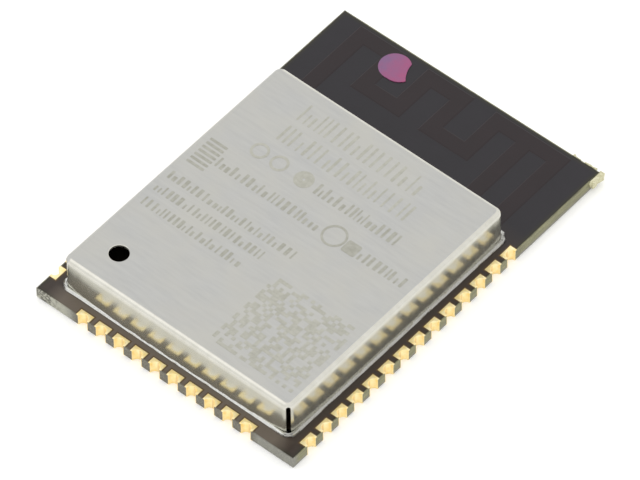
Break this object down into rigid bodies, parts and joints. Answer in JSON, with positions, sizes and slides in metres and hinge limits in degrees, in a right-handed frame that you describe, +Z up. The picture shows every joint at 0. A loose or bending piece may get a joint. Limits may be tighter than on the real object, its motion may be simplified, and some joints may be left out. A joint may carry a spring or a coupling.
{
  "type": "wifi module",
  "caption": "Small radio board with plated half-hole contacts on three edges, a printed meander antenna and a soldered sheet-metal shield can.",
  "frame": {"origin": "middle of the underside, in the plane of the contact feet", "axes": "+Z up out of the board, +Y to the antenna end, +X to the right seen from above with the antenna away"},
  "size_m": [0.018, 0.0254, 0.0031],
  "materials": {
    "glass_laminate": "glass and epoxy laminate, cut edge, matt grey green",
    "solder_mask": "black solder mask, satin",
    "bare_copper": "etched copper under the mask",
    "gold_plate": "thin gold over nickel and copper, soft gloss",
    "marking_ink": "pink violet ink, satin",
    "solder_tin": "tin solder, bright with rough patches",
    "tinned_sheet": "tinned steel sheet, satin top and bright drawn walls",
    "chip_moulding": "black moulding compound, matt",
    "lead_tin": "matt tin",
    "crystal_lid_metal": "plated lid, satin",
    "chip_ceramic": "tan ceramic with tinned ends",
    "chip_ferrite": "pale ceramic with tinned ends",
    "chip_resistor": "black glazed ceramic with tinned ends"
  },
  "bodies": {
    "root": {"board_laminate": "glass_laminate", "solder_mask_top": "solder_mask", "solder_mask_bottom": "solder_mask", "antenna_trace": "bare_copper", "ground_pads": "gold_plate", "component_lands": "gold_plate", "ink_spot": "marking_ink", "shield_land": "solder_tin", "shield_solder": "solder_tin", "shield_can": "tinned_sheet", "radio_chip": "chip_moulding", "radio_chip_terminals": "lead_tin", "memory_chip": "chip_moulding", "memory_chip_leads": "lead_tin", "crystal": "crystal_lid_metal", "filter_capacitors": "chip_ceramic", "supply_capacitors": "chip_ceramic", "bypass_capacitors": "chip_ceramic", "matching_inductors": "chip_ferrite", "matching_capacitors": "chip_ceramic", "resistors": "chip_resistor", "surge_diode": "chip_moulding", "contact_01": "gold_plate", "contact_02": "gold_plate", "contact_03": "gold_plate", "contact_04": "gold_plate", "contact_05": "gold_plate", "contact_06": "gold_plate", "contact_07": "gold_plate", "contact_08": "gold_plate", "contact_09": "gold_plate", "contact_10": "gold_plate", "contact_11": "gold_plate", "contact_12": "gold_plate", "contact_13": "gold_plate", "contact_14": "gold_plate", "contact_15": "gold_plate", "contact_16": "gold_plate", "contact_17": "gold_plate", "contact_18": "gold_plate", "contact_19": "gold_plate", "contact_20": "gold_plate", "contact_21": "gold_plate", "contact_22": "gold_plate", "contact_23": "gold_plate", "contact_24": "gold_plate", "contact_25": "gold_plate", "contact_26": "gold_plate", "contact_27": "gold_plate", "contact_28": "gold_plate", "contact_29": "gold_plate", "contact_30": "gold_plate", "contact_31": "gold_plate", "contact_32": "gold_plate", "contact_33": "gold_plate", "contact_34": "gold_plate", "contact_35": "gold_plate", "contact_36": "gold_plate", "contact_37": "gold_plate", "contact_38": "gold_plate"}
  },
  "joints": []
}
